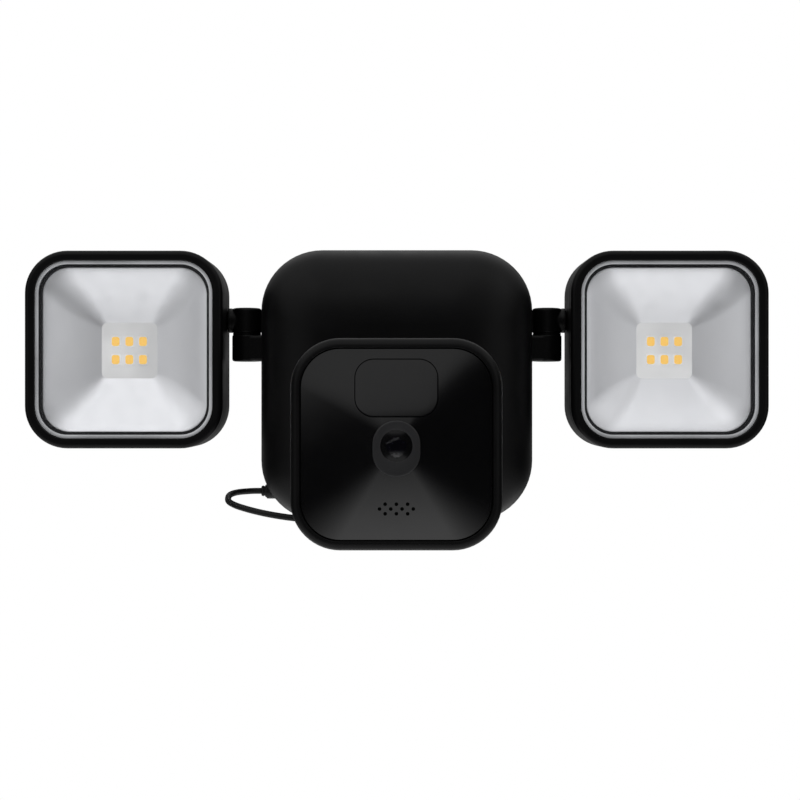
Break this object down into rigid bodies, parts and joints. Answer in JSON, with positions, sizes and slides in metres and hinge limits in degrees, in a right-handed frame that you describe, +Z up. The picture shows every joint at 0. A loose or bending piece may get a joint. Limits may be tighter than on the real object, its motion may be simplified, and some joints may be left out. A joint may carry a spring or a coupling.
{
  "type": "floodlight security camera",
  "caption": "Wall-mounted battery floodlight with two square panning and tilting lamps beside a square hub that carries a small square camera on a ball mount.",
  "frame": {"origin": "middle of the wall plate's back face, which is also the middle of the hub seen from the front", "axes": "+X to the viewer's right, +Y into the wall, +Z up; the lamps and the camera face -Y"},
  "size_m": [0.28, 0.1302, 0.1067],
  "materials": {
    "matte_black": "fine matte moulded plastic, black",
    "dark_plastic": "matte moulded plastic, dark grey",
    "gloss_black": "glossy black moulded plastic",
    "rubber": "matte black elastomer",
    "steel": "zinc plated steel",
    "brass": "plated contact strip",
    "cell": "printed sleeve over a metal can, plain blue-grey",
    "circuit_board": "green glass-fibre board",
    "reflector": "silver metallised plastic, satin",
    "led_plate": "white solder mask on an aluminium board",
    "led": "yellow phosphor under clear silicone",
    "heat_sink": "extruded aluminium",
    "clear_lens": "clear polished pane",
    "lens_glass": "dark coated glass"
  },
  "bodies": {
    "hub": {"wall_plate": "dark_plastic", "plate_lock_screw": "steel", "hub_frame": "matte_black", "hub_front": "matte_black", "rear_cover": "matte_black", "rear_cover_seal": "rubber", "rear_cover_screws": "steel", "battery_holder": "dark_plastic", "d_cell_1": "cell", "d_cell_2": "cell", "d_cell_3": "cell", "d_cell_4": "cell", "cell_springs": "steel", "cell_contacts": "brass", "controller_board": "circuit_board", "board_screws": "steel", "ball_socket": "matte_black", "lead_gland": "rubber", "usb_lead": "rubber", "left_knuckle": "matte_black", "right_knuckle": "matte_black", "friction_washers": "steel"},
    "left_arm_unit": {"left_arm": "matte_black", "left_pivot_pin": "steel", "left_tilt_screw": "steel"},
    "left_lamp": {"left_housing": "matte_black", "left_bezel": "matte_black", "left_lens": "clear_lens", "left_lens_seal": "rubber", "left_reflector": "reflector", "left_led_board": "led_plate", "left_leds": "led", "left_heat_sink": "heat_sink", "left_lamp_screws": "steel"},
    "right_arm_unit": {"right_arm": "matte_black", "right_pivot_pin": "steel", "right_tilt_screw": "steel"},
    "right_lamp": {"right_housing": "matte_black", "right_bezel": "matte_black", "right_lens": "clear_lens", "right_lens_seal": "rubber", "right_reflector": "reflector", "right_led_board": "led_plate", "right_leds": "led", "right_heat_sink": "heat_sink", "right_lamp_screws": "steel"},
    "ball_unit": {"mount_ball": "matte_black"},
    "camera": {"ball_stem": "matte_black", "camera_back": "matte_black", "camera_body": "matte_black", "camera_fascia": "gloss_black", "pir_window": "gloss_black", "lens_surround": "dark_plastic", "lens_glass": "lens_glass", "lens_barrel": "dark_plastic", "speaker": "dark_plastic", "camera_board": "circuit_board", "aa_cells": "cell", "back_screw": "steel", "usb_plug": "rubber"}
  },
  "joints": [
    {"name": "left_lamp_pan", "type": "hinge", "parent": "hub", "child": "left_arm_unit", "pos_m": [-0.058, -0.046, 0.0253], "axis": [0, 0, 1], "range_deg": [-22, 35]},
    {"name": "left_lamp_tilt", "type": "hinge", "parent": "left_arm_unit", "child": "left_lamp", "pos_m": [-0.0655, -0.046, 0.0253], "axis": [1, 0, 0], "range_deg": [-40, 40]},
    {"name": "right_lamp_pan", "type": "hinge", "parent": "hub", "child": "right_arm_unit", "pos_m": [0.058, -0.046, 0.0253], "axis": [0, 0, 1], "range_deg": [-35, 22]},
    {"name": "right_lamp_tilt", "type": "hinge", "parent": "right_arm_unit", "child": "right_lamp", "pos_m": [0.0655, -0.046, 0.0253], "axis": [1, 0, 0], "range_deg": [-40, 40]},
    {"name": "camera_pan", "type": "hinge", "parent": "hub", "child": "ball_unit", "pos_m": [0, -0.09, -0.0202], "axis": [0, 0, 1], "range_deg": [-20, 20], "deforming": ["usb_lead"]},
    {"name": "camera_tilt", "type": "hinge", "parent": "ball_unit", "child": "camera", "pos_m": [0, -0.09, -0.0202], "axis": [1, 0, 0], "range_deg": [-12, 25], "deforming": ["usb_lead"]}
  ]
}
